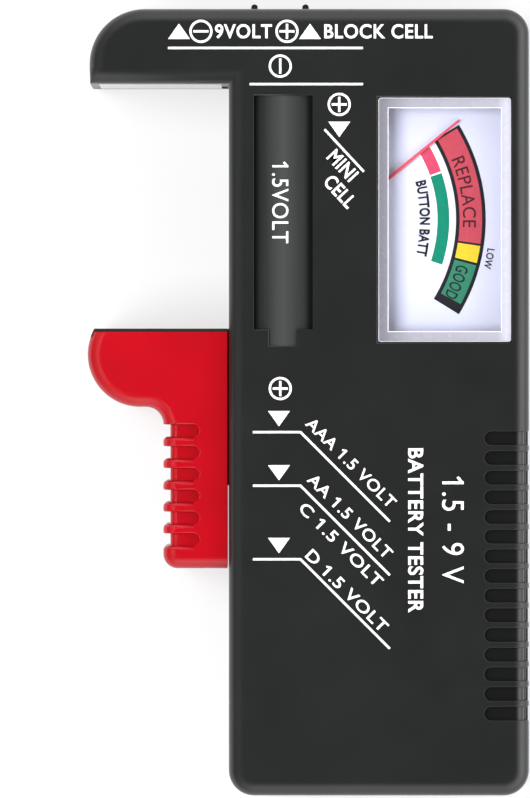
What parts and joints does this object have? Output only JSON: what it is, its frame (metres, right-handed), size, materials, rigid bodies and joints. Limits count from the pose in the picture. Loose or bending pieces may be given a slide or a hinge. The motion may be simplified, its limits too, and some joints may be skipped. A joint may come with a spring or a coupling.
{
  "type": "battery tester",
  "caption": "Pocket battery tester: case with a fixed arm, sprung sliding jaw, end contacts and a moving-coil meter behind a clear window.",
  "frame": {"origin": "below the middle of the tester, on the plane of its back, with the tester lying face up", "axes": "+Z out of the face, +Y along the case towards the end with the nine volt contacts, +X away from the jaw"},
  "size_m": [0.0612, 0.1098, 0.025],
  "materials": {
    "black_plastic": "fine spark texture, satin",
    "red_plastic": "polished",
    "clear_plastic": "polished clear acrylic",
    "meter_plastic": "satin",
    "dial_card": "matt paint",
    "nickel_strip": "nickel plated, bright",
    "steel": "zinc plated",
    "spring_steel": "drawn wire",
    "brass": "stamped",
    "copper_wire": "enamelled winding",
    "aluminium": "rolled",
    "magnet": "ground",
    "pointer_paint": "satin paint",
    "board": "solder mask",
    "resistor_body": "lacquer",
    "wire_black": "insulation",
    "wire_red": "insulation",
    "wire_yellow": "insulation",
    "wire_blue": "insulation"
  },
  "bodies": {
    "housing": {"front_cover": "black_plastic", "rear_cover": "black_plastic", "case_screws": "steel", "arm_contact": "nickel_strip", "nine_volt_contact_negative": "nickel_strip", "nine_volt_contact_positive": "nickel_strip", "contact_rail": "brass", "meter_case": "meter_plastic", "meter_cover": "clear_plastic", "meter_screws": "steel", "meter_terminals": "brass", "dial_plate": "dial_card", "yoke_ring": "steel", "core_magnet": "magnet", "lower_bearing": "brass", "bearing_bridge": "brass", "bridge_bearing": "brass", "circuit_board": "board", "board_screws": "steel", "resistor_small_cells": "resistor_body", "resistor_round_cells": "resistor_body", "resistor_nine_volt": "resistor_body", "wire_arm_contact": "wire_black", "wire_nine_volt_negative": "wire_black", "wire_nine_volt_positive": "wire_red", "wire_contact_rail": "wire_red", "wire_meter_positive": "wire_yellow", "wire_meter_negative": "wire_blue"},
    "slider": {"slider_grip": "red_plastic", "slider_contact_plate": "nickel_strip", "slider_wiper": "brass", "slider_spring": "spring_steel"},
    "movement": {"moving_coil": "copper_wire", "coil_former": "aluminium", "coil_pivots": "steel", "pointer": "pointer_paint", "hairspring": "brass"}
  },
  "joints": [
    {"name": "slider_slide", "type": "slide", "parent": "housing", "child": "slider", "axis": [0, 1, 0], "range_m": [-0.0313, 0.0336], "stiffness_N_per_m": 36, "springref_m": 0.044, "deforming": ["slider_spring"]},
    {"name": "pointer_swing", "type": "hinge", "parent": "housing", "child": "movement", "pos_m": [0.0042, 0.0249, 0.018], "axis": [0, 0, -1], "range_deg": [0, 79], "stiffness_Nm_per_rad": 0.000002, "springref_deg": -5.73, "deforming": ["hairspring"]}
  ]
}
